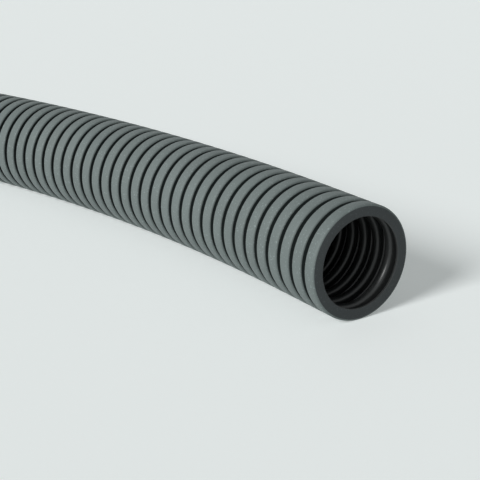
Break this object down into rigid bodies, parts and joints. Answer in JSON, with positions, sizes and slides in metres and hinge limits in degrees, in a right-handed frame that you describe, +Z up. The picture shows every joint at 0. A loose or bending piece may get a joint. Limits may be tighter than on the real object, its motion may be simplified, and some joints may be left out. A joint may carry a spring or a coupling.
{
  "type": "corrugated conduit",
  "caption": "Cut length of grey corrugated pliable plastic conduit with flat crests and narrow grooves, ridged inside, lying in one even bend.",
  "frame": {"origin": "centre of the mouth of the first end, in the plane of its cut face", "axes": "+X out of the first end's mouth along the tube, +Z up from the floor it lies on, the tube bends towards -Y"},
  "size_m": [0.4686, 0.7302, 0.025],
  "materials": {
    "grey_plastic": "satin mid-grey moulded plastic with a fine grain, glossier and darker inside the bore"
  },
  "bodies": {
    "root": {"conduit": "grey_plastic"}
  },
  "joints": []
}
